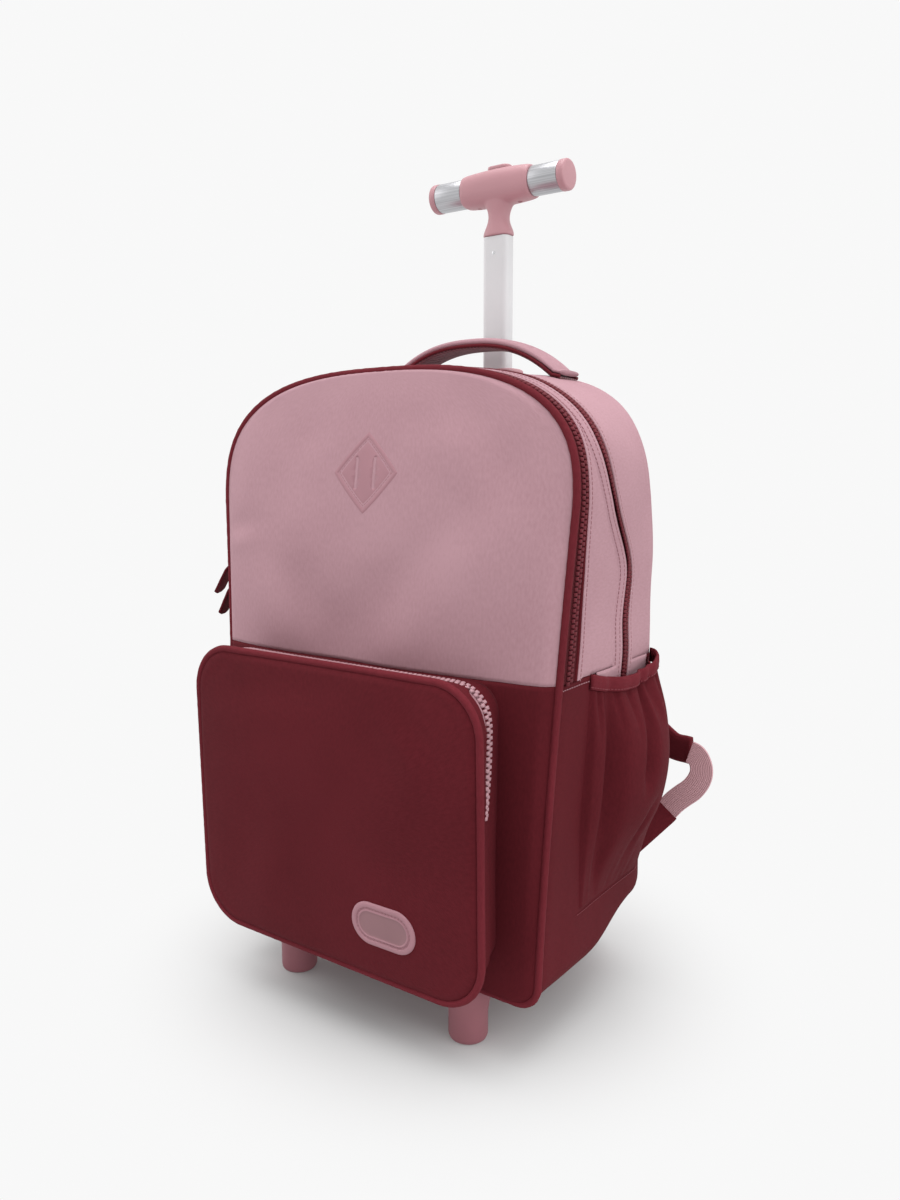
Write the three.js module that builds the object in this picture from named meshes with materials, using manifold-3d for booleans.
// A wheeled school backpack: a soft hollow bag sewn onto a moulded base with feet and wheels,
// with a telescopic pole and T-grip behind it and shoulder straps on its back.
// Millimetres. +X is to the viewer's right, -Y is the front, +Z is up and the floor is z = 0.
import * as THREE from "three";
import { mergeVertices } from "three/addons/utils/BufferGeometryUtils.js";
import Module from "manifold-3d";

const wasm = await Module();
wasm.setup();

// Clearances and thicknesses of what is sewn
const seatGap = 0.3; // between pieces that touch
const slideGap = 0.5; // around pieces that slide or turn
const clothWall = 2.4; // outer cloth with its foam lining
const pocketWall = 1.6;
const pipingWidth = 5.6;
const zipHeight = 1.4;
const webbingThickness = 1.6;

// The bag
const groundClearance = 49; // floor to the bag's underside
const bagWidth = 336; // at the shoulders
const bagBaseWidth = 308;
const bagHeight = 447;
const bagDepth = 183; // front seam to back seam at mid height
const shoulderHeight = 351; // underside to where the arch begins
const splitHeight = 230; // underside to the seam between the two colours
const archPower = 2.75; // 2 is an ellipse, more is squarer
const baseCorner = 16;
const frontLean = 0.052; // mm back for each mm up
const topRise = 8; // how much higher the top is at the back
const rearLift = 21; // how much higher the underside is at the back
const rearLiftStart = 0.36; // share of the depth, from the front, where it begins
const rearLiftReach = 110; // how far up the sides that lift is felt
const rearCornerSide = 46; // rounding into the back, at the sides,
const rearCornerTop = 14; // at the top
const rearCornerBase = 40; // and at the bottom
const rearCornerTurn = 75; // degrees of that rounding before the back seam
const rearTaper = 22; // how much narrower each side of the arch is at the back
const panelBulge = 17;
const panelBulgeLow = 0.3; // share of the bulge left at the underside
const backPadEdge = 4;
const backPadThickness = 11;

// The zips in the sides and over the top
const frontZipWidth = 21;
const mainZipWidth = 12;

// The front pocket
const pocketWidth = 272; // between the middles of its piping
const pocketHeight = 227;
const pocketRise = 9; // underside of the bag to the pocket's piping
const pocketBaseInset = 17; // how much narrower it is where it is sewn on
const pocketBaseInsetTop = 9;
const pocketDepth = 52;
const pocketLean = 0.073; // extra depth for each mm up
const pocketBulge = 6;
const pocketCorner = 36;
const pocketZipWidth = 16;
const pocketZipEnd = -0.02; // where it ends, from the pocket's middle, as a share of its height

// The patch and the badge
const patchWidth = 63;
const patchHeight = 62;
const patchThickness = 2.4;
const patchRise = 372; // underside of the bag to the patch's middle
const patchSlotLength = 23;
const patchSlotWidth = 2.4;
const patchSlotSpacing = 17;
const badgeLength = 57;
const badgeHeight = 33;
const badgeThickness = 2.6;
const badgeAcross = 58; // bag's middle to the badge's middle
const badgeRise = 54; // underside of the bag to the badge's middle

// The side pockets
const sidePocketFront = 47; // from the bag's mid depth forwards
const sidePocketBack = 60; // and backwards
const sidePocketSeam = 53; // underside of the bag to the bottom seam
const sidePocketHeight = 167; // bottom seam to the lower edge of the hem
const sidePocketBulge = 30;
const hemHeight = 11;
const hemThickness = 2.6;
const hemRiseBack = 3; // how much higher the hem is at its back end
const hemSag = 9; // and how far it dips between its ends

// The carry handle
const carryHandleSpan = 160; // between the feet of its arch
const carryHandleRise = 21;
const carryHandleTail = 8; // sewn-down end beyond the arch
const carryHandleWidth = 30;
const carryHandlePad = 7;
const carryHandleLining = 2;
const carryHandleBack = 47; // behind the bag's mid depth

// The shoulder straps
const strapTop = 26; // below the bag's top
const strapDrop = 283;
const strapTopAcross = 42;
const strapEndAcross = 174;
const strapWidth = 62;
const strapThickness = 11;
const strapStandOff = 34; // strap's middle to the back pad
const webbingWidth = 20;
const webbingReach = 12; // how far its loop swings out beyond the strap's end
const webbingDrop = 55;
const tabWidth = 22;
const tabLength = 42;
const tabThickness = 3;
const tabAcross = 137; // where it goes into the bag's seam
const tabBack = 66;

// The moulded base
const trayWidth = 210;
const trayThickness = 4;
const trayInset = 3; // behind the front seam
const footRadius = 15;
const footTopRadius = 19;
const footAcross = 88;
const footForward = 91;
const footSides = 14;

// The wheels
const wheelRadius = 28;
const wheelWidth = 20;
const wheelAcross = 84;
const wheelBack = 72;
const tyreThickness = 7;
const axleRadius = 3;
const housingWall = 2.5;
const housingGap = 2.5; // round the tyre
const housingSides = 24; // of a full turn
const wheelSides = 18;

// The telescopic pole
const poleWidth = 25;
const poleDepth = 15;
const poleCorner = 5;
const poleWall = 1.3;
const poleBack = 79.3; // pole's middle behind the bag's mid depth
const gripHeight = 662; // ground to the grip's axis, pole drawn out as in use
const gripNeck = 41; // pole's top to the grip's axis
const poleTop = gripHeight - gripNeck;
const poleLength = 426;
const outerTubeBottom = 96;
const socketHeight = 26;
const collarHeight = 6;
const collarMargin = 7;

// The T-grip
const gripLength = 136;
const gripTubeRadius = 12.2;
const gripHubLength = 68;
const gripCapLength = 6.5;
const gripSides = 14;
const buttonLength = 22;
const buttonWidth = 12;
const buttonProud = 2.4;
const buttonTravel = 3;
const screwRadius = 3.2;
const screwBelowTop = 14;
const screwHeight = 1.1;
const gripBack = 1.5; // grip's middle behind the pole's
const gripHoleRadius = 2.2;
const buttonSeat = 3; // depth of the button's well beyond its travel

// The zip pulls on the left side
const sliderHeight = 3.4;
const sliderWidth = 8;
const sliderLength = 11;
const pullWidth = 15;
const pullThickness = 2;
const upperPullRise = 72; // its slider above the panel's split
const lowerPullRise = 54;
const lowerPullLean = 4; // forwards
const mainPullRise = 60;
const pullReach = 26; // how far the tabs stand out sideways
const pullDrop = 36; // and hang down

// Finishes
const pinkCloth = { color: 0xc79aa3, roughness: 0.8, metalness: 0 };
const maroonCloth = { color: 0x642730, roughness: 0.8, metalness: 0 };
const maroonMesh = { color: 0x5a222a, roughness: 0.9, metalness: 0 };
const pinkWebbing = { color: 0xb98088, roughness: 0.8, metalness: 0 };
const pinkRubber = { color: 0xbd8890, roughness: 0.6, metalness: 0 };
const pinkPlastic = { color: 0xc4868f, roughness: 0.45, metalness: 0 };
const brushedAluminium = { color: 0xb9b9bd, roughness: 0.35, metalness: 1 };
const whitePaint = { color: 0xd9d9d9, roughness: 0.4, metalness: 0.1 };
const chromedSteel = { color: 0xd0d0d0, roughness: 0.15, metalness: 1 };
const darkRubber = { color: 0x2c2a2b, roughness: 0.8, metalness: 0 };
const plainSteel = { color: 0x8f9092, roughness: 0.35, metalness: 1 };

const vec = (x, y, z) => new THREE.Vector3(x, y, z);
const clamp = THREE.MathUtils.clamp;
const mix = THREE.MathUtils.lerp;
const smooth = (share) => THREE.MathUtils.smoothstep(share, 0, 1);
const radians = THREE.MathUtils.degToRad;

// A bag's groups of pieces. Only the grip and the wheels are placed by groups of their own.
const backpack = new THREE.Group();
const bag = new THREE.Group();
backpack.add(bag);

function addPiece(name, geometry, finish, group = bag) {
  const mesh = new THREE.Mesh(geometry, new THREE.MeshStandardMaterial(finish));
  mesh.name = name;
  group.add(mesh);
  return mesh;
}

// A closed body through loops of points. Each loop has the same even number of points.
// Its ends are closed by strips between the loop's two halves, unless it is joined into a ring.
function skin(loops, joined = false) {
  const count = loops[0].length;
  const indices = [];
  const quad = (a, b, c, d) => indices.push(a, b, c, a, c, d);
  const spans = joined ? loops.length : loops.length - 1;
  for (let i = 0; i < spans; i++) {
    const here = i * count;
    const next = ((i + 1) % loops.length) * count;
    for (let j = 0; j < count; j++) {
      const k = (j + 1) % count;
      quad(here + j, here + k, next + k, next + j);
    }
  }
  if (!joined) {
    const last = (loops.length - 1) * count;
    for (let j = 0; j < count / 2 - 1; j++) {
      const far = count - 1 - j;
      quad(far, far - 1, j + 1, j);
      quad(last + j, last + j + 1, last + far - 1, last + far);
    }
  }
  const points = loops.flat();
  const geometry = new THREE.BufferGeometry().setFromPoints(points);
  let volume = 0;
  for (let i = 0; i < indices.length; i += 3) {
    const [a, b, c] = indices.slice(i, i + 3).map((index) => points[index]);
    volume += a.dot(b.clone().cross(c));
  }
  return geometry.setIndex(volume > 0 ? indices : indices.reverse());
}

function solidOf(geometry) {
  const bare = geometry.clone();
  bare.deleteAttribute("normal");
  bare.deleteAttribute("uv");
  const merged = mergeVertices(bare, 1e-3);
  return new wasm.Manifold(
    new wasm.Mesh({
      numProp: 3,
      vertProperties: merged.attributes.position.array,
      triVerts: new Uint32Array(merged.index.array),
    }),
  );
}

function geometryOf(solid) {
  const mesh = solid.getMesh();
  return new THREE.BufferGeometry()
    .setAttribute("position", new THREE.BufferAttribute(mesh.vertProperties, 3))
    .setIndex(new THREE.BufferAttribute(mesh.triVerts, 1));
}

// Booleans between geometries. A cut may leave crumbs, so the largest body is kept.
function largest(solid) {
  const bodies = solid.decompose();
  return bodies.reduce((best, body) => (body.volume() > best.volume() ? body : best));
}
const cut = (geometry, ...tools) =>
  geometryOf(largest(tools.reduce((solid, tool) => solid.subtract(solidOf(tool)), solidOf(geometry))));
const join = (...geometries) =>
  geometryOf(geometries.map(solidOf).reduce((solid, other) => solid.add(other)));
const keepInside = (geometry, tool) => geometryOf(largest(solidOf(geometry).intersect(solidOf(tool))));

function boxBetween(low, high) {
  const size = high.clone().sub(low);
  const middle = low.clone().add(high).multiplyScalar(0.5);
  return new THREE.BoxGeometry(size.x, size.y, size.z).translate(middle.x, middle.y, middle.z);
}

// A cylinder along X.
const roundBar = (radius, length, sides) =>
  new THREE.CylinderGeometry(radius, radius, length, sides).rotateZ(Math.PI / 2);

// The bag's outline, seen from the front
const bagBase = groundClearance;
const bagTop = bagBase + bagHeight;
const bagMid = bagBase + bagHeight / 2;
const shoulder = bagBase + shoulderHeight;
const split = bagBase + splitHeight;
const backSeam = bagDepth / 2;

const frontY = (z) => -bagDepth / 2 + frontLean * (z - bagMid);

// Half the bag's width at a height between its base corners and its shoulders.
function halfWidthAt(z) {
  const share = clamp((z - bagBase - baseCorner) / (shoulderHeight - baseCorner), 0, 1);
  return mix(bagBaseWidth, bagWidth, share ** 1.6) / 2;
}

// Stations round the outline, from the middle of the base up the right side and down the left.
function outlineStations() {
  const right = [];
  const flat = bagBaseWidth / 2 - baseCorner;
  const baseSteps = 2;
  const cornerSteps = 3;
  const sideSteps = 3;
  const archSteps = 9;
  for (let i = 0; i < baseSteps; i++) right.push({ x: (flat * i) / baseSteps, z: bagBase });
  for (let i = 0; i <= cornerSteps; i++) {
    const turn = (Math.PI / 2) * (i / cornerSteps);
    const x = flat + baseCorner * Math.sin(turn);
    right.push({ x, z: bagBase + baseCorner * (1 - Math.cos(turn)) });
  }
  const sideHeights = [bagBase + baseCorner, split, shoulder];
  for (let part = 0; part < 2; part++) {
    for (let i = 1; i <= sideSteps; i++) {
      const z = mix(sideHeights[part], sideHeights[part + 1], i / sideSteps);
      right.push({ x: halfWidthAt(z), z });
    }
  }
  for (let i = 1; i <= archSteps; i++) {
    const turn = (Math.PI / 2) * (i / archSteps);
    const x = (bagWidth / 2) * Math.abs(Math.cos(turn)) ** (2 / archPower);
    right.push({ x, z: shoulder + (bagTop - shoulder) * Math.sin(turn) ** (2 / archPower) });
  }
  right.at(-1).x = 0;
  const left = right.slice(1, -1).reverse();
  return [...right, ...left.map(({ x, z }) => ({ x: -x, z }))];
}

// How far the corner into the back is rounded: most at the sides, least at the top.
function rearCorner({ x, z }) {
  const upper = smooth((z - shoulder) / (bagTop - shoulder));
  const lower = smooth((bagBase + rearLiftReach - z) / rearLiftReach);
  const flatTop = smooth(1 - Math.abs(x) / (bagWidth / 2)) * upper;
  const rounding = mix(rearCornerSide, rearCornerBase, lower);
  return mix(rounding, rearCornerTop, Math.max(flatTop, upper ** 4));
}

const stations = outlineStations().map((station) => ({ ...station, rear: rearCorner(station) }));

// A station of the outline drawn in by an inset, at a depth.
function formPoint({ x, z }, inset, y) {
  const back = clamp(y / bagDepth + 0.5, 0, 1);
  const high = clamp((z - bagMid) / (bagHeight / 2), 0, 1);
  const low = smooth(1 - (z - bagBase) / rearLiftReach);
  const drawnIn = bagMid + (z - bagMid) * (1 - inset / (bagHeight / 2));
  const height = drawnIn + topRise * back * high + rearLift * smooth((back - rearLiftStart) / 0.45) * low;
  const narrowed = inset + rearTaper * back ** 2 * smooth(high);
  return vec(x * (1 - narrowed / (bagBaseWidth / 2)), y, height);
}

// The bag's wall from its front edge back round the rear corner, at one station.
const straightSteps = 3;
const turnSteps = 3;
function wallRows(station, frontEdge, inward) {
  const rows = [];
  const turnStart = backSeam - station.rear * Math.sin(radians(rearCornerTurn));
  for (let i = 0; i <= straightSteps; i++) {
    rows.push(formPoint(station, inward, mix(frontEdge, turnStart, i / straightSteps)));
  }
  for (let i = 1; i <= turnSteps; i++) {
    const turn = radians((rearCornerTurn * i) / turnSteps);
    const radius = station.rear - inward;
    const inset = station.rear - radius * Math.cos(turn);
    rows.push(formPoint(station, inset, turnStart + radius * Math.sin(turn)));
  }
  return rows;
}

// Where the wall's front edge lies: behind the piping, which is centred on the panel's edge.
const cordReach = (pipingWidth / 2) * Math.SQRT1_2; // from its middle to a flat of its section
const panelEdge = cordReach + seatGap;
const panelSeam = ({ z }) => frontY(z) + clothWall / 2;
const wallFront = (station) => panelSeam(station) + panelEdge;

// The whole outer form as one solid, grown a little, to cut what is seated on the bag.
function bagForm(grow) {
  const columns = stations.map((station) => {
    const front = formPoint(station, -grow, frontY(station.z) - grow);
    const rows = wallRows(station, wallFront(station), -grow);
    return [front, ...rows, rows.at(-1).clone().setY(backSeam + grow)];
  });
  return skin(columns[0].map((_, row) => columns.map((column) => column[row])));
}

// Panels: rings of the outline, from a small one at the middle to the edge and back behind it
const ringShares = [0.05, 0.45, 0.75, 1];
function panelOf(outline, front, back) {
  const ring = (share, place) =>
    outline.map(({ x, z }) => {
      const at = { x: x * share, z: bagMid + (z - bagMid) * share };
      return vec(at.x, place(at.x, at.z), at.z);
    });
  const outer = ringShares.map((share) => ring(share, front));
  const inner = ringShares.map((share) => ring(share, back)).reverse();
  return skin([...outer, ...inner]);
}

// How full a padded panel is at a point: 1 in its middle, 0 along its edge.
const crown = (x, z, halfWidth, halfHeight) =>
  Math.max(0, 1 - (x / halfWidth) ** 4 - ((z - bagMid) / halfHeight) ** 4);

const panelY = (x, z) => {
  const gain = mix(panelBulgeLow, 1, clamp((z - bagBase) / (bagHeight * 0.7), 0, 1));
  return frontY(z) - panelBulge * gain * crown(x, z, bagWidth / 2, bagHeight / 2);
};

const aboveSplit = boxBetween(
  vec(-bagWidth, -bagDepth * 2, split + seatGap / 2),
  vec(bagWidth, bagDepth * 2, bagTop + bagHeight),
);
const belowSplit = boxBetween(
  vec(-bagWidth, -bagDepth * 2, bagBase - bagHeight),
  vec(bagWidth, bagDepth * 2, split - seatGap / 2),
);

// Piping: a cord sewn round an edge, with a four-sided section
function cordLoop(points, radius) {
  const depth = vec(0, 1, 0);
  const loops = points.map((point, i) => {
    const before = points[(i + points.length - 1) % points.length];
    const after = points[(i + 1) % points.length];
    const along = after.clone().sub(before).normalize();
    const outward = along.clone().cross(depth).normalize();
    return [45, 135, 225, 315].map((angle) =>
      point
        .clone()
        .addScaledVector(outward, radius * Math.cos(radians(angle)))
        .addScaledVector(depth, radius * Math.sin(radians(angle))),
    );
  });
  return skin(loops, true);
}

// A flat strip with eased edges along rows of { point, across, width, thickness }.
const stripSection = [
  [-0.5, -0.2],
  [-0.42, -0.5],
  [0.42, -0.5],
  [0.5, -0.2],
  [0.5, 0.2],
  [0.42, 0.5],
  [-0.42, 0.5],
  [-0.5, 0.2],
];
function strip(rows) {
  const loops = rows.map(({ point, across, width, thickness }, i) => {
    const before = rows[Math.max(i - 1, 0)].point;
    const after = rows[Math.min(i + 1, rows.length - 1)].point;
    const along = after.clone().sub(before).normalize();
    const side = across.clone().addScaledVector(along, -across.dot(along)).normalize();
    const face = along.clone().cross(side);
    return stripSection.map(([wide, thick]) =>
      point.clone().addScaledVector(side, wide * width).addScaledVector(face, thick * thickness),
    );
  });
  return skin(loops);
}

// Smooth rows through a table's rows: every column is one coordinate of a curve.
function smoothRows(table, columns, count) {
  const curves = columns.map(
    (column) => new THREE.SplineCurve(table.map((row, i) => new THREE.Vector2(i, row[column]))),
  );
  return Array.from({ length: count }, (_, i) => {
    const share = i / (count - 1);
    return Object.fromEntries(columns.map((column, c) => [column, curves[c].getPoint(share).y]));
  });
}

// An outline moved inwards by a distance, square to its edges.
function drawIn(outline, distance) {
  return outline.map(({ x, z }, i) => {
    const before = outline[(i + outline.length - 1) % outline.length];
    const after = outline[(i + 1) % outline.length];
    const arriving = new THREE.Vector2(x - before.x, z - before.z).normalize();
    const leaving = new THREE.Vector2(after.x - x, after.z - z).normalize();
    const inward = new THREE.Vector2(-arriving.y - leaving.y, arriving.x + leaving.x).normalize();
    const reach = distance / inward.dot(new THREE.Vector2(-leaving.y, leaving.x));
    return { x: x + inward.x * reach, z: z + inward.y * reach };
  });
}

// Front panel, in two colours
const panelOutline = drawIn(stations, panelEdge);
const frontPanel = panelOf(panelOutline, panelY, (x, z) => panelY(x, z) + clothWall);
addPiece("front_panel_upper", keepInside(frontPanel, aboveSplit), pinkCloth);
addPiece("front_panel_lower", keepInside(frontPanel, belowSplit), maroonCloth);

addPiece(
  "panel_piping",
  cordLoop(stations.map((station) => formPoint(station, 0, panelSeam(station))), pipingWidth / 2),
  maroonCloth,
);

// The wall round the sides, top and bottom, in two colours, cut out for the pole and its socket
const wall = skin(
  stations.map((station) => [
    ...wallRows(station, wallFront(station), 0),
    ...wallRows(station, wallFront(station), clothWall).reverse(),
  ]),
  true,
);
const outerTubeWidth = poleWidth + 2 * (slideGap + poleWall);
const outerTubeDepth = poleDepth + 2 * (slideGap + poleWall);
const tubeHole = boxBetween(
  vec(-outerTubeWidth / 2 - seatGap, poleBack - outerTubeDepth / 2 - seatGap, bagMid),
  vec(outerTubeWidth / 2 + seatGap, poleBack + outerTubeDepth / 2 + seatGap, bagTop + topRise * 4),
);
const socketWall = 2;
const socketMargin = seatGap + socketWall;
const socketLow = vec(-outerTubeWidth / 2 - socketMargin, poleBack - outerTubeDepth / 2 - socketMargin, 0);
const socketHigh = vec(-socketLow.x, Math.min(2 * poleBack - socketLow.y, backSeam - seatGap), 0);
const socketHole = boxBetween(
  vec(socketLow.x - seatGap, socketLow.y - seatGap, bagBase - rearLift),
  vec(socketHigh.x + seatGap, backSeam + clothWall, outerTubeBottom + socketHeight),
);
addPiece("gusset_upper", cut(keepInside(wall, aboveSplit), tubeHole), pinkCloth);
addPiece("gusset_lower", cut(keepInside(wall, belowSplit), socketHole), maroonCloth);

// The padded back and the piping in its seam
const backEdge = stations.map((station) => wallRows(station, frontY(station.z), 0).at(-1));
const backOutline = drawIn(backEdge, panelEdge);
const backHalfWidth = Math.max(...backOutline.map(({ x }) => x));
const backHalfHeight = Math.max(...backOutline.map(({ z }) => Math.abs(z - bagMid)));
const backFace = backSeam + seatGap;
const backPadY = (x, z) =>
  backFace + mix(backPadEdge, backPadThickness, crown(x, z, backHalfWidth, backHalfHeight));
addPiece("back_panel", panelOf(backOutline, () => backFace, backPadY), maroonCloth);
addPiece(
  "back_piping",
  cordLoop(
    backEdge.map(({ x, z }) => vec(x, backFace + cordReach, z)),
    pipingWidth / 2,
  ),
  maroonCloth,
);

// Zips that run up one side, over the top and down the other
const overTop = stations.filter(({ z }) => z >= split);
function zipOver(middleY, width) {
  return skin(
    overTop.map((station) => {
      const y = middleY(station);
      const lift = -seatGap;
      return [
        formPoint(station, lift, y - width / 2),
        formPoint(station, lift - zipHeight, y - width / 2),
        formPoint(station, lift - zipHeight, y + width / 2),
        formPoint(station, lift, y + width / 2),
      ];
    }),
  );
}
const frontZipY = (station) => wallFront(station) + frontZipWidth / 2 + seatGap;
const frontZipMiddle = frontZipY({ z: split + pullDrop });
// The main zip swings forward where it climbs onto the arch.
const mainZipMiddle = bagDepth * 0.025;
const mainZipForward = bagDepth * 0.26;
const mainZipY = ({ z }) => mainZipMiddle - mainZipForward * smooth((z - bagMid * 1.25) / (bagHeight * 0.23));
addPiece("front_zip", zipOver(frontZipY, frontZipWidth), maroonCloth);
addPiece("main_zip", zipOver(mainZipY, mainZipWidth), maroonCloth);

// Front pocket: a cloth box, open where it is sewn to the panel
const pocketBaseZ = bagBase + pocketRise;
const pocketMid = pocketBaseZ + pocketHeight / 2;
function pocketOutline(inset, insetTop = inset) {
  const halfWidth = pocketWidth / 2 - inset;
  const low = pocketBaseZ + inset;
  const high = pocketBaseZ + pocketHeight - insetTop;
  const radius = pocketCorner - inset;
  const cornerSteps = 3;
  const lengthSteps = 3;
  const right = [];
  const corner = (centreZ, from) => {
    for (let i = 0; i <= cornerSteps; i++) {
      const turn = radians(from + (90 * i) / cornerSteps);
      right.push({ x: halfWidth - radius + radius * Math.cos(turn), z: centreZ + radius * Math.sin(turn) });
    }
  };
  const across = halfWidth - radius;
  const upright = high - low - 2 * radius;
  for (let i = 0; i < lengthSteps; i++) right.push({ x: (across * i) / lengthSteps, z: low });
  corner(low + radius, -90);
  for (let i = 1; i < lengthSteps; i++) {
    right.push({ x: halfWidth, z: low + radius + (upright * i) / lengthSteps });
  }
  corner(high - radius, 0);
  for (let i = lengthSteps - 1; i >= 0; i--) right.push({ x: (across * i) / lengthSteps, z: high });
  return [...right, ...right.slice(1, -1).reverse().map(({ x, z }) => ({ x: -x, z }))];
}
const pocketFaceY = (x, z) => {
  const edge = (x / (pocketWidth / 2)) ** 4 + ((z - pocketMid) / (pocketHeight / 2)) ** 4;
  const flat = frontY(z) - pocketDepth - pocketLean * (z - pocketMid);
  return flat - pocketBulge * Math.max(0, 1 - edge);
};
const ringAt = (outline, y) => outline.map(({ x, z }) => vec(x, y(x, z), z));
const shrink = (outline, share) =>
  outline.map(({ x, z }) => ({ x: x * share, z: pocketMid + (z - pocketMid) * share }));
const between = (a, b, share) =>
  a.map((from, i) => ({ x: mix(from.x, b[i].x, share), z: mix(from.z, b[i].z, share) }));
const pocketFaceShares = [0.05, 0.5, 0.82, 1];
const pocketSide = pocketOutline(panelEdge);
const pocketSeam = pocketOutline(pocketBaseInset, pocketBaseInsetTop);
const pocketSeamY = (x, z) => panelY(x, z) + clothWall / 2;
const onPanel = panelOf(
  stations,
  (x, z) => panelY(x, z) - seatGap,
  (x, z) => panelY(x, z) + panelBulge,
);

// A ring round the pocket's side, from 0 at its face to 1 at the panel, moved inwards.
function pocketSideRing(share, inward) {
  const outline = shrink(between(pocketSide, pocketSeam, share), 1 - (2 * inward) / pocketHeight);
  return ringAt(outline, (x, z) => mix(pocketFaceY(x, z) + Math.max(inward, 0), pocketSeamY(x, z), share));
}
function pocketRings(inward) {
  const side = shrink(pocketSide, 1 - (2 * inward) / pocketHeight);
  return [
    ...pocketFaceShares.map((share) => ringAt(shrink(side, share), (x, z) => pocketFaceY(x, z) + inward)),
    pocketSideRing(0.5, inward),
    pocketSideRing(1, inward),
  ];
}
const pocketShell = skin([...pocketRings(0), ...pocketRings(pocketWall).reverse()]);
addPiece("front_pocket", cut(pocketShell, onPanel), maroonCloth);
addPiece(
  "front_pocket_piping",
  cordLoop(
    pocketOutline(0).map(({ x, z }) => vec(x, pocketFaceY(x, z) + cordReach, z)),
    pipingWidth / 2,
  ),
  maroonCloth,
);

// The pocket's zip, round the top and down both sides of it
const zipFaceShare = 0.3;
const pocketZipRows = pocketSideRing(zipFaceShare, -seatGap).map((_, i) => {
  const shareAcross = pocketZipWidth / pocketDepth;
  const at = (share, inward) => pocketSideRing(share, inward)[i];
  return [
    at(zipFaceShare, -seatGap),
    at(zipFaceShare, -seatGap - zipHeight),
    at(zipFaceShare + shareAcross, -seatGap - zipHeight),
    at(zipFaceShare + shareAcross, -seatGap),
  ];
});
const zipEndHeight = pocketMid + pocketHeight * pocketZipEnd;
addPiece("front_pocket_zip", skin(pocketZipRows.filter(([point]) => point.z > zipEndHeight)), pinkCloth);

// The diamond patch, a soft rubber plate with two slots, following the panel
const patchMid = bagBase + patchRise;
const patchCorners = 3;
const patchOutline = Array.from({ length: 4 * patchCorners }, (_, i) => {
  const quarter = Math.floor(i / patchCorners);
  const share = (i % patchCorners) / patchCorners;
  const ends = [
    [patchWidth / 2, 0],
    [0, patchHeight / 2],
    [-patchWidth / 2, 0],
    [0, -patchHeight / 2],
  ];
  const [from, to] = [ends[quarter], ends[(quarter + 1) % 4]];
  return { x: mix(from[0], to[0], share), z: patchMid + mix(from[1], to[1], share) };
});
function plateOn(outline, middle, surfaceY, thickness) {
  const shares = [0.05, 0.5, 1];
  const ring = (share, lift) =>
    outline.map(({ x, z }) => {
      const at = { x: mix(middle.x, x, share), z: mix(middle.z, z, share) };
      return vec(at.x, surfaceY(at.x, at.z) - seatGap - lift, at.z);
    });
  return skin([
    ...shares.map((share) => ring(share, thickness)),
    ...shares.map((share) => ring(share, 0)).reverse(),
  ]);
}
const patchSlot = (side) =>
  boxBetween(
    vec((side * patchSlotSpacing - patchSlotWidth) / 2, -bagDepth, patchMid - patchSlotLength / 2),
    vec((side * patchSlotSpacing + patchSlotWidth) / 2, 0, patchMid + patchSlotLength / 2),
  );
const patchPlate = plateOn(patchOutline, { x: 0, z: patchMid }, panelY, patchThickness);
addPiece("diamond_patch", cut(patchPlate, patchSlot(-1), patchSlot(1)), pinkRubber);

// The bare badge, a pill-shaped rubber plate on the pocket
const badgeMid = { x: badgeAcross, z: bagBase + badgeRise };
const badgeSteps = 6;
const badgeOutline = Array.from({ length: 2 * (badgeSteps + 1) }, (_, i) => {
  const side = i <= badgeSteps ? 1 : -1;
  const turn = radians(-90 + (180 * (i % (badgeSteps + 1))) / badgeSteps);
  const centre = (side * (badgeLength - badgeHeight)) / 2;
  return {
    x: badgeMid.x + centre + (side * badgeHeight * Math.cos(turn)) / 2,
    z: badgeMid.z + (side * badgeHeight * Math.sin(turn)) / 2,
  };
});
addPiece("pill_badge", plateOn(badgeOutline, badgeMid, pocketFaceY, badgeThickness), pinkRubber);

// Side pockets: gathered cloth that stands off the bag's side, open at the top under an elastic hem
const sideRounding = (y) => {
  const past = Math.max(0, y - (backSeam - rearCornerSide * Math.sin(radians(rearCornerTurn))));
  return rearCornerSide - Math.sqrt(rearCornerSide ** 2 - past ** 2);
};
const sideX = (y, z) => halfWidthAt(z) * (1 - sideRounding(y) / (bagBaseWidth / 2));

// How far the pocket stands off at shares of its height.
const sidePocketProfile = [{ out: 0 }, { out: 0.42 }, { out: 0.86 }, { out: 1 }, { out: 0.85 }, { out: 0.35 }];
// Folds: where along the pocket, how wide, between which shares of its height, and how deep.
const sidePocketFolds = [
  { along: 0.22, width: 0.09, low: -0.1, high: 0.7, depth: 0.55 },
  { along: 0.5, width: 0.06, low: 0.25, high: 1.2, depth: 0.25 },
  { along: 0.74, width: 0.07, low: -0.1, high: 0.5, depth: 0.35 },
];
const sidePocketRows = 7;
const sidePocketColumns = 12;
const sidePocketSkew = 1.8; // 1 is fullest at the middle, more is fullest further back
const sidePocketFullness = 0.55; // less is squarer
const profileRows = smoothRows(sidePocketProfile, ["out"], sidePocketRows);
function standOff(along, row) {
  const up = row / (sidePocketRows - 1);
  const across = Math.sin(Math.PI * along ** sidePocketSkew) ** sidePocketFullness;
  const folds = sidePocketFolds.reduce((sum, fold) => {
    const beside = Math.exp(-(((along - fold.along) / fold.width) ** 2));
    const within = smooth((up - fold.low) * 5) * smooth((fold.high - up) * 5);
    return sum + fold.depth * beside * within;
  }, 0);
  return sidePocketBulge * profileRows[row].out * across * (1 - folds);
}
const pocketColumns = Array.from({ length: sidePocketColumns }, (_, i) => i / (sidePocketColumns - 1));
const sidePocketY = (along) => mix(-sidePocketFront, sidePocketBack, along);
const sidePocketBottom = bagBase + sidePocketSeam;

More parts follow.
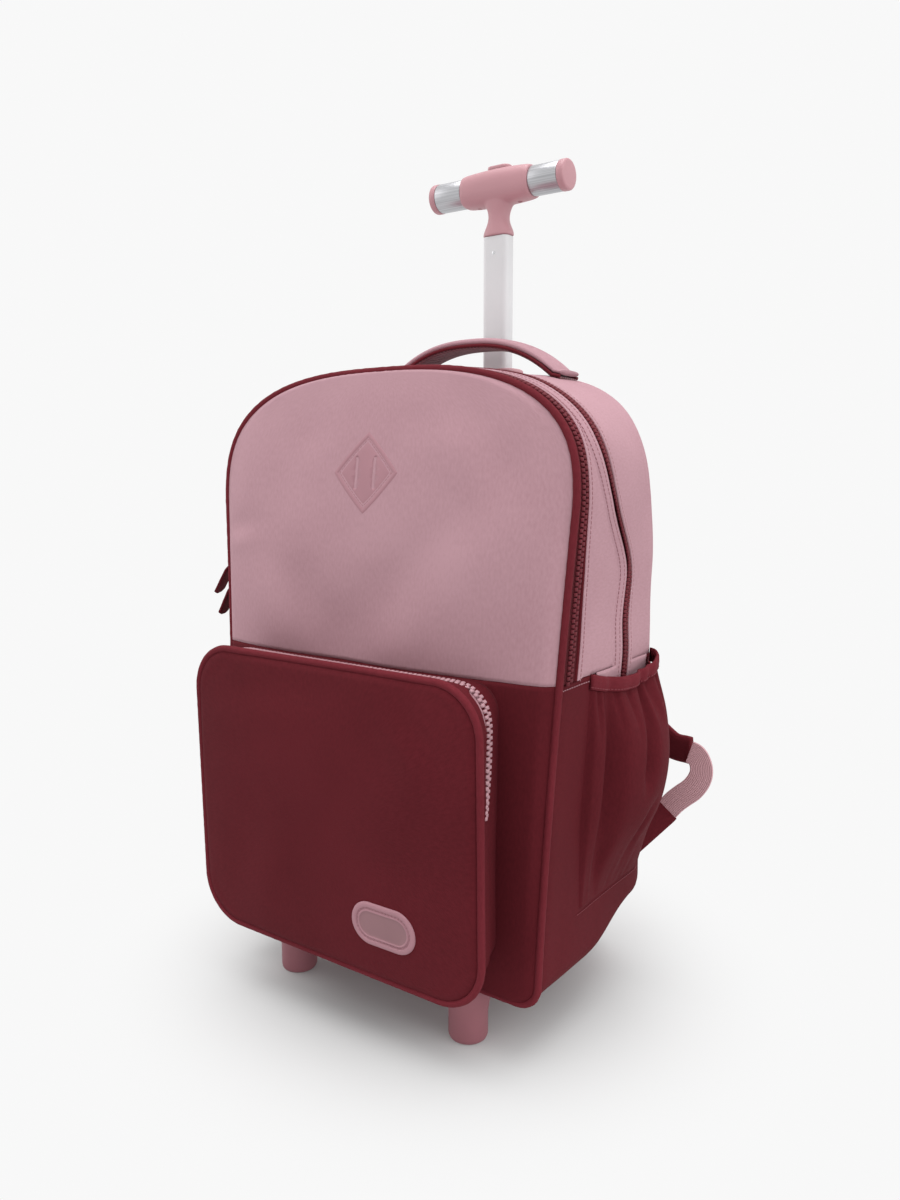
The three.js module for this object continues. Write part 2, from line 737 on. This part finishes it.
// A band of cloth against the bag's side: a height and a stand-off at each column.
function sideBand(side, height, off, thickness) {
  const face = (lift) =>
    pocketColumns.map((along) => {
      const y = sidePocketY(along);
      const z = height(along);
      return vec(side * (sideX(y, z) + seatGap + off(along) + lift), y, z);
    });
  return [...face(thickness), ...face(0).reverse()];
}
const hemLow = (along) =>
  sidePocketBottom + sidePocketHeight + hemRiseBack * along - hemSag * Math.sin(Math.PI * along);
const gather = (along) => 0.7 * Math.sin(along * Math.PI * 13) ** 2 * Math.sin(Math.PI * along);
const sides = { left: -1, right: 1 };
for (const [name, side] of Object.entries(sides)) {
  const cloth = profileRows.map((_, row) => {
    const share = row / (sidePocketRows - 1);
    const height = (along) => mix(sidePocketBottom, hemLow(along), share);
    return sideBand(side, height, (along) => Math.max(0, standOff(along, row)), pocketWall);
  });
  addPiece("side_pocket_" + name, skin(cloth), maroonCloth);
  const hemOff = (along) => standOff(along, sidePocketRows - 1) + gather(along);
  const hem = [seatGap, hemHeight / 2, hemHeight].map((rise) =>
    sideBand(side, (along) => hemLow(along) + rise, hemOff, hemThickness),
  );
  addPiece("side_pocket_hem_" + name, skin(hem), maroonCloth);
}

// The carry handle: a padded arch with a mesh lining under it, its ends sewn to the top
const onBag = bagForm(seatGap);
const archShare = (x) => (1 - (Math.abs(x) / (bagWidth / 2)) ** archPower) ** (1 / archPower);
const topStation = (x) => mix(shoulder, bagTop, archShare(x));
function topZ(x, y) {
  const narrowing = formPoint({ x: 1, z: bagTop }, 0, y).x;
  return formPoint({ x, z: topStation(x / narrowing) }, 0, y).z;
}
const handleReach = carryHandleSpan / 2 + carryHandleTail;
const handleSteps = 14;
const handlePath = Array.from({ length: handleSteps + 1 }, (_, i) => {
  const x = mix(-handleReach, handleReach, i / handleSteps);
  const share = Math.min(1, Math.abs(x) / (carryHandleSpan / 2));
  return vec(x, carryHandleBack, topZ(x, carryHandleBack) + carryHandleRise * (1 - share ** 2.4));
});
function handleStrip(lift, width, thickness) {
  const across = vec(0, 1, 0);
  const rows = handlePath.map((point, i) => {
    const along = handlePath[Math.min(i + 1, handleSteps)].clone().sub(handlePath[Math.max(i - 1, 0)]);
    const outward = across.clone().cross(along).normalize();
    return { point: point.clone().addScaledVector(outward, -lift), across, width, thickness };
  });
  return cut(strip(rows), onBag);
}
const handleSeat = carryHandleLining - seatGap; // the lining's underside is cut to sit on the bag
addPiece(
  "carry_handle_pad",
  handleStrip(handleSeat + seatGap + carryHandlePad / 2, carryHandleWidth, carryHandlePad),
  pinkCloth,
);
addPiece(
  "carry_handle_lining",
  handleStrip(handleSeat - carryHandleLining / 2, carryHandleWidth * 0.9, carryHandleLining),
  maroonMesh,
);

// Shoulder straps, from the top of the back down and out to the sides, then webbing to a sewn tab
// down: share of the drop; out: share of the way to its end; off: share of the stand-off.
const strapTable = [
  { down: 0, out: 0, off: -0.25, wide: 0.95 },
  { down: 0.07, out: 0.01, off: 0.1, wide: 1 },
  { down: 0.16, out: 0.05, off: 0.5, wide: 1 },
  { down: 0.32, out: 0.15, off: 0.85, wide: 1 },
  { down: 0.55, out: 0.32, off: 1, wide: 0.92 },
  { down: 0.76, out: 0.47, off: 0.85, wide: 0.72 },
  { down: 0.92, out: 0.64, off: 0.6, wide: 0.46 },
  { down: 0.99, out: 0.85, off: 0.42, wide: 0.34 },
  { down: 1, out: 1, off: 0.36, wide: 0.33 },
];
const backOuter = backFace + backPadThickness;
const strapEndZ = bagTop - strapTop - strapDrop;
const onBackPad = panelOf(drawIn(backOutline, -seatGap), () => 0, (x, z) => backPadY(x, z) + seatGap);
const strapRows = smoothRows(strapTable, ["down", "out", "off", "wide"], 12);
function strapRow(side, { down, out, off, wide }) {
  const x = side * mix(strapTopAcross, strapEndAcross, out);
  const point = vec(x, backOuter + off * strapStandOff, bagTop - strapTop - strapDrop * down);
  const thickness = strapThickness * mix(0.45, 1, wide);
  return { point, across: vec(1, 0, 0), width: strapWidth * wide, thickness };
}
// The webbing's own route, seen from behind, from the strap's end round to its tab.
// out: share of its reach; down: share of its drop.
const webbingTable = [
  { out: 0.1, down: 0 },
  { out: 0.6, down: 0.04 },
  { out: 0.93, down: 0.16 },
  { out: 1, down: 0.3 },
  { out: 0.8, down: 0.44 },
  { out: 0.33, down: 0.59 },
  { out: -0.33, down: 0.72 },
  { out: -0.93, down: 0.85 },
  { out: -1.47, down: 1 },
];
const webbingRows = smoothRows(webbingTable, ["out", "down"], 12);
for (const [name, side] of Object.entries(sides)) {
  const rows = strapRows.map((row) => strapRow(side, row));
  rows.forEach((row, i) => {
    const along = rows[Math.min(i + 1, rows.length - 1)].point.clone().sub(rows[Math.max(i - 1, 0)].point);
    row.across = along.cross(vec(0, 1, 0)).normalize();
  });
  addPiece("shoulder_strap_" + name, cut(strip(rows), onBackPad), maroonCloth);
  const end = rows.at(-1);
  const inFront = end.point.y - (end.thickness + webbingThickness) / 2 - seatGap;
  const route = webbingRows.map(({ out, down }) =>
    vec(side * (strapEndAcross + out * webbingReach), inFront, strapEndZ - down * webbingDrop),
  );
  const webbing = route.map((point, i) => {
    const along = route[Math.min(i + 1, route.length - 1)].clone().sub(route[Math.max(i - 1, 0)]);
    const across = along.cross(vec(0, 1, 0)).normalize();
    return { point, across, width: webbingWidth, thickness: webbingThickness };
  });
  addPiece("strap_webbing_" + name, strip(webbing), pinkWebbing);
  const last = webbing.at(-1);
  const anchor = vec(side * tabAcross, tabBack, last.point.z - tabLength * 0.8);
  const start = last.point.clone().lerp(anchor, (webbingThickness + seatGap) / tabLength);
  const tab = [0, 0.35, 0.7, 1].map((share) => ({
    point: start.clone().lerp(anchor, share),
    across: last.across,
    width: tabWidth * (1 - 0.5 * share),
    thickness: tabThickness,
  }));
  addPiece("strap_tab_" + name, cut(strip(tab), onBag), maroonCloth);
}

// The moulded base: a tray that wraps the underside, with the wheels' housings and the pole's socket
const trayLow = bagBase - trayThickness * 3;
const trayFront = frontY(bagBase) + panelEdge + trayInset;
const trayRegion = boxBetween(
  vec(-trayWidth / 2, trayFront, trayLow),
  vec(trayWidth / 2, backSeam - seatGap, bagBase + rearLift + rearCornerBase * 0.6),
);
const tray = keepInside(bagForm(seatGap + trayThickness), trayRegion);
const housingHalf = wheelWidth / 2 + slideGap + housingWall;
const housingFloor = wheelRadius * 0.45;
const housings = Object.values(sides).map((side) => {
  const fender = roundBar(wheelRadius + housingGap + housingWall, 2 * housingHalf, housingSides);
  const post = boxBetween(
    vec(-housingHalf, -wheelRadius * 0.8, 0),
    vec(housingHalf, backSeam - seatGap - wheelBack, wheelRadius + rearCornerBase * 0.8),
  );
  const keep = boxBetween(
    vec(-housingHalf, -wheelRadius * 2, housingFloor - wheelRadius),
    vec(housingHalf, wheelRadius * 2, wheelRadius * 3),
  );
  return keepInside(join(fender, post), keep).translate(side * wheelAcross, wheelBack, wheelRadius);
});
const wheelSpaces = Object.values(sides).map((side) =>
  roundBar(wheelRadius + housingGap, wheelWidth + 2 * slideGap, housingSides).translate(
    side * wheelAcross,
    wheelBack,
    wheelRadius,
  ),
);
const axleLength = 2 * (wheelAcross + housingHalf + 1.5);
const axleHole = roundBar(axleRadius + seatGap, axleLength, 12).translate(0, wheelBack, wheelRadius);
const socketBottom = bagBase + rearLift - trayThickness;
const tubePocket = boxBetween(
  vec(-outerTubeWidth / 2 - seatGap, poleBack - outerTubeDepth / 2 - seatGap, outerTubeBottom - seatGap),
  vec(outerTubeWidth / 2 + seatGap, poleBack + outerTubeDepth / 2 + seatGap, outerTubeBottom + socketHeight * 2),
);
const socket = cut(
  boxBetween(
    vec(socketLow.x, socketLow.y, socketBottom),
    vec(socketHigh.x, socketHigh.y, outerTubeBottom + socketHeight),
  ),
  tubePocket,
);
const moulding = cut(join(tray, ...housings), onBag, ...wheelSpaces, axleHole);
addPiece("trolley_base", join(moulding, socket), pinkPlastic);

// Feet under the front, on the tray
const footProfile = [
  { radius: 0, height: 0 },
  { radius: 0.66, height: 0 },
  { radius: 0.9, height: 0.035 },
  { radius: 1, height: 0.12 },
  { radius: 1, height: 0.5 },
];
for (const [name, side] of Object.entries(sides)) {
  const top = bagBase - seatGap * 2 - trayThickness;
  const profile = footProfile.map(({ radius, height }) => new THREE.Vector2(radius * footRadius, height * top));
  profile.push(new THREE.Vector2(footTopRadius, top), new THREE.Vector2(0, top));
  const foot = new THREE.LatheGeometry(profile, footSides).rotateX(Math.PI / 2);
  foot.translate(side * footAcross, -footForward, 0);
  addPiece("front_foot_" + name, cut(foot, bagForm(2 * seatGap + trayThickness)), pinkPlastic);
}

// The wheels on their axle
addPiece("wheel_axle", roundBar(axleRadius, axleLength, 12).translate(0, wheelBack, wheelRadius), plainSteel);
function ring(inner, outer, width, ease) {
  const half = width / 2;
  const profile = [
    [inner, -half],
    [outer - ease, -half],
    [outer, -half + ease],
    [outer, half - ease],
    [outer - ease, half],
    [inner, half],
    [inner, -half],
  ].map(([radius, along]) => new THREE.Vector2(radius, along));
  return new THREE.LatheGeometry(profile, wheelSides).rotateZ(Math.PI / 2);
}
for (const [name, side] of Object.entries(sides)) {
  const wheel = new THREE.Group();
  wheel.position.set(side * wheelAcross, wheelBack, wheelRadius);
  backpack.add(wheel);
  const rim = wheelRadius - tyreThickness;
  addPiece("wheel_tyre_" + name, ring(rim, wheelRadius, wheelWidth, 3), darkRubber, wheel);
  addPiece("wheel_hub_" + name, ring(axleRadius + slideGap, rim - seatGap, wheelWidth, 1), pinkPlastic, wheel);
}

// The telescopic pole in its outer tube, with a collar where it leaves the bag
function roundedRectangle(width, depth, radius, path = new THREE.Shape()) {
  const [x, y] = [width / 2 - radius, depth / 2 - radius];
  path.absarc(x, -y, radius, -Math.PI / 2, 0);
  path.absarc(x, y, radius, 0, Math.PI / 2);
  path.absarc(-x, y, radius, Math.PI / 2, Math.PI);
  path.absarc(-x, -y, radius, Math.PI, Math.PI * 1.5);
  path.closePath();
  return path;
}
function squareTube(width, depth, corner, wallThickness, bottom, top) {
  const shape = roundedRectangle(width, depth, corner);
  const bore = [width, depth].map((size) => size - 2 * wallThickness);
  shape.holes.push(roundedRectangle(...bore, corner - wallThickness, new THREE.Path()));
  const options = { depth: top - bottom, bevelEnabled: false, curveSegments: 2 };
  return new THREE.ExtrudeGeometry(shape, options).translate(0, poleBack, bottom);
}
const collarFoot = topZ(0, poleBack);
const outerCorner = poleCorner + slideGap + poleWall;
addPiece(
  "outer_tube",
  squareTube(outerTubeWidth, outerTubeDepth, outerCorner, poleWall, outerTubeBottom, collarFoot),
  brushedAluminium,
);
const grip = new THREE.Group();
backpack.add(grip);
const screwAt = vec(0, poleBack - poleDepth / 2, poleTop - screwBelowTop);
const frontScrew = (radius, height) =>
  new THREE.CylinderGeometry(radius, radius, height, 12).translate(screwAt.x, screwAt.y + screwHeight / 2, screwAt.z);
const innerPole = squareTube(poleWidth, poleDepth, poleCorner, poleWall, poleTop - poleLength, poleTop);
addPiece("inner_pole", cut(innerPole, frontScrew(screwRadius + seatGap, poleWall * 2)), whitePaint, grip);
const collarWidth = outerTubeWidth + 2 * collarMargin;
const collarDepth = outerTubeDepth + 2 * (collarMargin - 3);
const collarBlock = new THREE.ExtrudeGeometry(roundedRectangle(collarWidth, collarDepth, outerCorner), {
  depth: collarHeight + rearCornerTop,
  bevelEnabled: false,
  curveSegments: 2,
}).translate(0, poleBack, collarFoot - rearCornerTop);
const tubeClear = boxBetween(
  vec(-outerTubeWidth / 2 - seatGap, poleBack - outerTubeDepth / 2 - seatGap, bagMid),
  vec(outerTubeWidth / 2 + seatGap, poleBack + outerTubeDepth / 2 + seatGap, collarFoot + seatGap),
);
const poleClear = new THREE.ExtrudeGeometry(
  roundedRectangle(poleWidth + 2 * slideGap, poleDepth + 2 * slideGap, poleCorner + slideGap),
  { depth: bagHeight, bevelEnabled: false, curveSegments: 2 },
).translate(0, poleBack, bagMid);
const behindCollar = boxBetween(
  vec(-collarWidth, backSeam - seatGap, bagMid),
  vec(collarWidth, backSeam + collarDepth, bagTop + bagHeight),
);
addPiece("pole_collar", cut(collarBlock, onBag, tubeClear, poleClear, behindCollar), pinkPlastic);

// A screw let into the pole's front face, just under the grip, so the pole still slides past the collar
addPiece("pole_screw", frontScrew(screwRadius, screwHeight), chromedSteel, grip);

// The grip's moulded hub: a barrel along X on a waisted neck, with a well for the button
const hubBarrel = [
  { along: -1, tall: 1.06, deep: 1.06 },
  { along: -0.86, tall: 1.13, deep: 1.12 },
  { along: -0.5, tall: 1.2, deep: 1.14 },
  { along: 0, tall: 1.24, deep: 1.16 },
  { along: 0.5, tall: 1.2, deep: 1.14 },
  { along: 0.86, tall: 1.13, deep: 1.12 },
  { along: 1, tall: 1.06, deep: 1.06 },
];
// up: share of the way from the pole's top to the grip's axis; wide, deep: of the pole's size.
const hubNeck = [
  { up: 0, wide: 1.12, deep: 1.22 },
  { up: 0.1, wide: 1.06, deep: 1.16 },
  { up: 0.3, wide: 0.76, deep: 1.08 },
  { up: 0.48, wide: 0.74, deep: 1.14 },
  { up: 0.7, wide: 1.05, deep: 1.4 },
  { up: 0.9, wide: 1.6, deep: 1.5 },
];
const hubSides = 12;
const hubPower = 0.8; // 1 is an ellipse, less is squarer
function ovalLoop(place) {
  return Array.from({ length: hubSides }, (_, i) => {
    const turn = (2 * Math.PI * (i + 0.5)) / hubSides;
    const round = (value) => Math.sign(value) * Math.abs(value) ** hubPower;
    return place(round(Math.cos(turn)), round(Math.sin(turn)));
  });
}
const gripY = poleBack + gripBack;
const barrel = skin(
  hubBarrel.map(({ along, tall, deep }) =>
    ovalLoop((a, b) =>
      vec((along * gripHubLength) / 2, gripY + a * deep * gripTubeRadius, gripHeight + b * tall * gripTubeRadius),
    ),
  ),
);
const neckBottom = poleTop + seatGap;
const neck = skin(
  hubNeck.map(({ up, wide, deep }) =>
    ovalLoop((a, b) =>
      vec(
        (a * wide * poleWidth) / 2,
        mix(poleBack, gripY, up) + (b * deep * poleDepth) / 2,
        mix(neckBottom, gripHeight, up),
      ),
    ),
  ),
);
const hubTop = gripHeight + gripTubeRadius * 1.24;
const wellFloor = hubTop - buttonTravel - buttonSeat;
const prism = (length, width, bottom, top) =>
  new THREE.ExtrudeGeometry(roundedRectangle(length, width, width * 0.45), {
    depth: top - bottom,
    bevelEnabled: false,
    curveSegments: 3,
  }).translate(0, gripY, bottom);
const buttonWell = prism(buttonLength + 2 * slideGap, buttonWidth + 2 * slideGap, wellFloor, hubTop * 1.1);
const screwHoles = Object.values(sides).map((side) =>
  new THREE.CylinderGeometry(gripHoleRadius, gripHoleRadius, gripTubeRadius, 12)
    .rotateX(Math.PI / 2)
    .translate(side * gripHubLength * 0.3, gripY, gripHeight - gripTubeRadius * 1.4),
);
addPiece("grip_hub", cut(join(barrel, neck), buttonWell, ...screwHoles), pinkPlastic, grip);
addPiece(
  "release_button",
  prism(buttonLength, buttonWidth, wellFloor + buttonTravel + seatGap, hubTop + buttonProud),
  pinkPlastic,
  grip,
);

// The grip's metal tubes and their end caps
const tubeLength = gripLength / 2 - gripHubLength / 2 - gripCapLength - 2 * seatGap;
const capProfile = [
  [0, 0],
  [1, 0],
  [1, 0.7],
  [0.93, 0.93],
  [0.8, 1],
  [0, 1],
].map(([radius, along]) => new THREE.Vector2(radius * (gripTubeRadius + 0.3), along * gripCapLength));
for (const [name, side] of Object.entries(sides)) {
  const middle = side * (gripHubLength / 2 + seatGap + tubeLength / 2);
  const tube = roundBar(gripTubeRadius, tubeLength, gripSides).translate(middle, gripY, gripHeight);
  addPiece("grip_tube_" + name, tube, brushedAluminium, grip);
  const cap = new THREE.LatheGeometry(capProfile, gripSides).rotateZ((-side * Math.PI) / 2);
  cap.translate(side * (gripLength / 2 - gripCapLength), gripY, gripHeight);
  addPiece("grip_cap_" + name, cap, pinkPlastic, grip);
}

// Zip pulls: a slider on the zip with a cloth tab hanging from it, all on the left side
const zipPulls = [
  { name: "front_zip_pull_upper", y: frontZipMiddle, rise: upperPullRise, reach: pullReach, lean: 0 },
  { name: "front_zip_pull_lower", y: frontZipMiddle, rise: lowerPullRise, reach: pullReach * 0.7, lean: lowerPullLean },
  { name: "main_zip_pull", y: mainZipY({ z: split + pullDrop }), rise: mainPullRise, reach: pullReach * 0.2, lean: 0 },
];
function zipPull(name, from, to, across) {
  const slider = new THREE.BoxGeometry(sliderHeight, sliderWidth, sliderLength).translate(from.x, from.y, from.z);
  const rows = [0, 0.5, 1].map((share) => ({
    point: from.clone().lerp(to, share),
    across,
    width: pullWidth * (share === 0 ? 0.4 : 1),
    thickness: pullThickness,
  }));
  addPiece(name, join(slider, strip(rows)), maroonCloth);
}
const zipSurface = (y, z) => -formPoint({ x: halfWidthAt(z), z }, -seatGap - zipHeight, y).x;
for (const { name, y, rise, reach, lean } of zipPulls) {
  const z = split + rise;
  const from = vec(zipSurface(y, z) - 2 * seatGap - sliderHeight / 2, y, z);
  zipPull(name, from, vec(from.x - reach, y - lean, z - pullDrop), vec(0, 1, 0));
}

// The whole is centred over the origin.
const extent = new THREE.Box3().setFromObject(backpack);
for (const group of backpack.children) group.position.y -= (extent.min.y + extent.max.y) / 2;

export default backpack;
